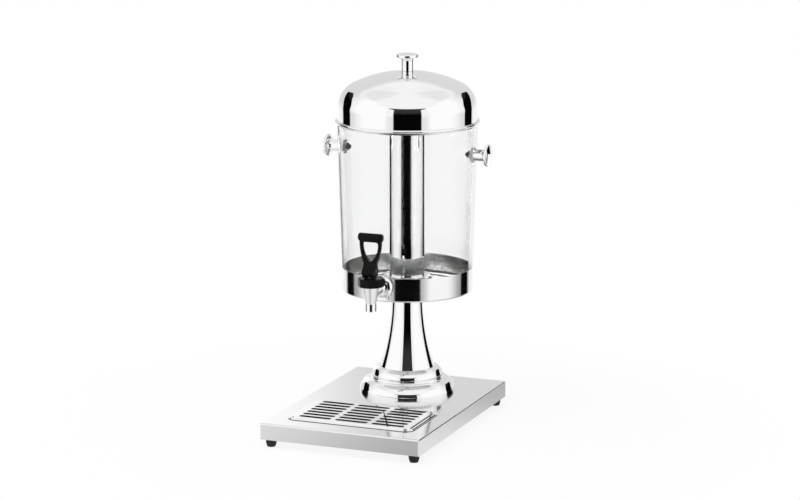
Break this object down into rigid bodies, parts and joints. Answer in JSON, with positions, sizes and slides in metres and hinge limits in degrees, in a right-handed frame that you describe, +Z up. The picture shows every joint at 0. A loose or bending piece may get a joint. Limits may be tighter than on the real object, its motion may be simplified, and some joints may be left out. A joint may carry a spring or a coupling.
{
  "type": "juice dispenser",
  "caption": "Cold juice dispenser: clear tapered tank with a steel ice tube, domed lid and lever tap, on a trumpet pedestal over a flat base with a drip tray.",
  "frame": {"origin": "middle of the whole object's box, at the bottom of the feet", "axes": "+Z up, -Y towards the user, where the tap and the drip tray are, +X to the right"},
  "size_m": [0.2788, 0.3921, 0.576],
  "materials": {
    "polished_steel": "mirror polished",
    "brushed_steel": "brushed",
    "plain_steel": "plain turned",
    "chrome": "chrome plated",
    "clear_plastic": "clear moulded polycarbonate",
    "black_plastic": "satin",
    "black_rubber": "matt",
    "white_plastic": "turned",
    "silicone": "translucent matt"
  },
  "bodies": {
    "stand": {"base_shell": "polished_steel", "base_bottom_plate": "brushed_steel", "rubber_feet": "black_rubber", "foot_screws": "plain_steel", "foot_nuts": "plain_steel", "pedestal_foot": "polished_steel", "pedestal_neck": "polished_steel", "pedestal_ring": "plain_steel", "pedestal_bolts": "plain_steel", "neck_socket": "white_plastic"},
    "drip_tray": {"drip_tray": "polished_steel"},
    "drip_grid": {"drip_grid": "polished_steel"},
    "tank_unit": {"tank_band": "brushed_steel", "clear_tank": "clear_plastic", "ice_tube": "polished_steel", "ice_tube_foot": "polished_steel", "ice_tube_gasket": "silicone", "clamp_spacer": "plain_steel", "spigot_nut": "plain_steel", "left_knob": "polished_steel", "right_knob": "polished_steel", "knob_gaskets": "silicone", "knob_washers": "white_plastic", "knob_cap_nuts": "plain_steel", "tap_body": "chrome", "tap_rosette": "chrome", "tap_outer_gasket": "silicone", "tap_inner_gasket": "silicone", "tap_lock_nut": "plain_steel", "tap_bonnet": "black_plastic", "tap_spring": "plain_steel"},
    "lid": {"lid_shell": "polished_steel", "lid_locating_ring": "polished_steel", "lid_knob": "polished_steel", "lid_knob_washer": "plain_steel", "lid_knob_screw": "plain_steel"},
    "tap_plunger": {"tap_stem": "plain_steel", "tap_seat_cup": "silicone"},
    "tap_handle": {"tap_handle": "black_plastic", "handle_pin": "plain_steel"}
  },
  "joints": [
    {"name": "tray_lift", "type": "slide", "parent": "stand", "child": "drip_tray", "axis": [0, 0, 1], "range_m": [0, 0.06]},
    {"name": "grid_lift", "type": "slide", "parent": "drip_tray", "child": "drip_grid", "axis": [0, 0, 1], "range_m": [0, 0.05]},
    {"name": "tank_lift", "type": "slide", "parent": "stand", "child": "tank_unit", "axis": [0, 0, 1], "range_m": [0, 0.04]},
    {"name": "lid_lift", "type": "slide", "parent": "tank_unit", "child": "lid", "axis": [0, 0, 1], "range_m": [0, 0.12]},
    {"name": "stem_lift", "type": "slide", "parent": "tank_unit", "child": "tap_plunger", "axis": [0, 0, 1], "range_m": [0, 0.00349], "deforming": ["tap_spring"]},
    {"name": "handle_tilt", "type": "hinge", "parent": "tap_plunger", "child": "tap_handle", "pos_m": [0, -0.06755, 0.2601], "axis": [1, 0, 0], "range_deg": [0, 50], "stiffness_Nm_per_rad": 0.05}
  ],
  "couplings": [
    {"joint": "handle_tilt", "follows": "stem_lift", "rad_per_m": 250}
  ]
}
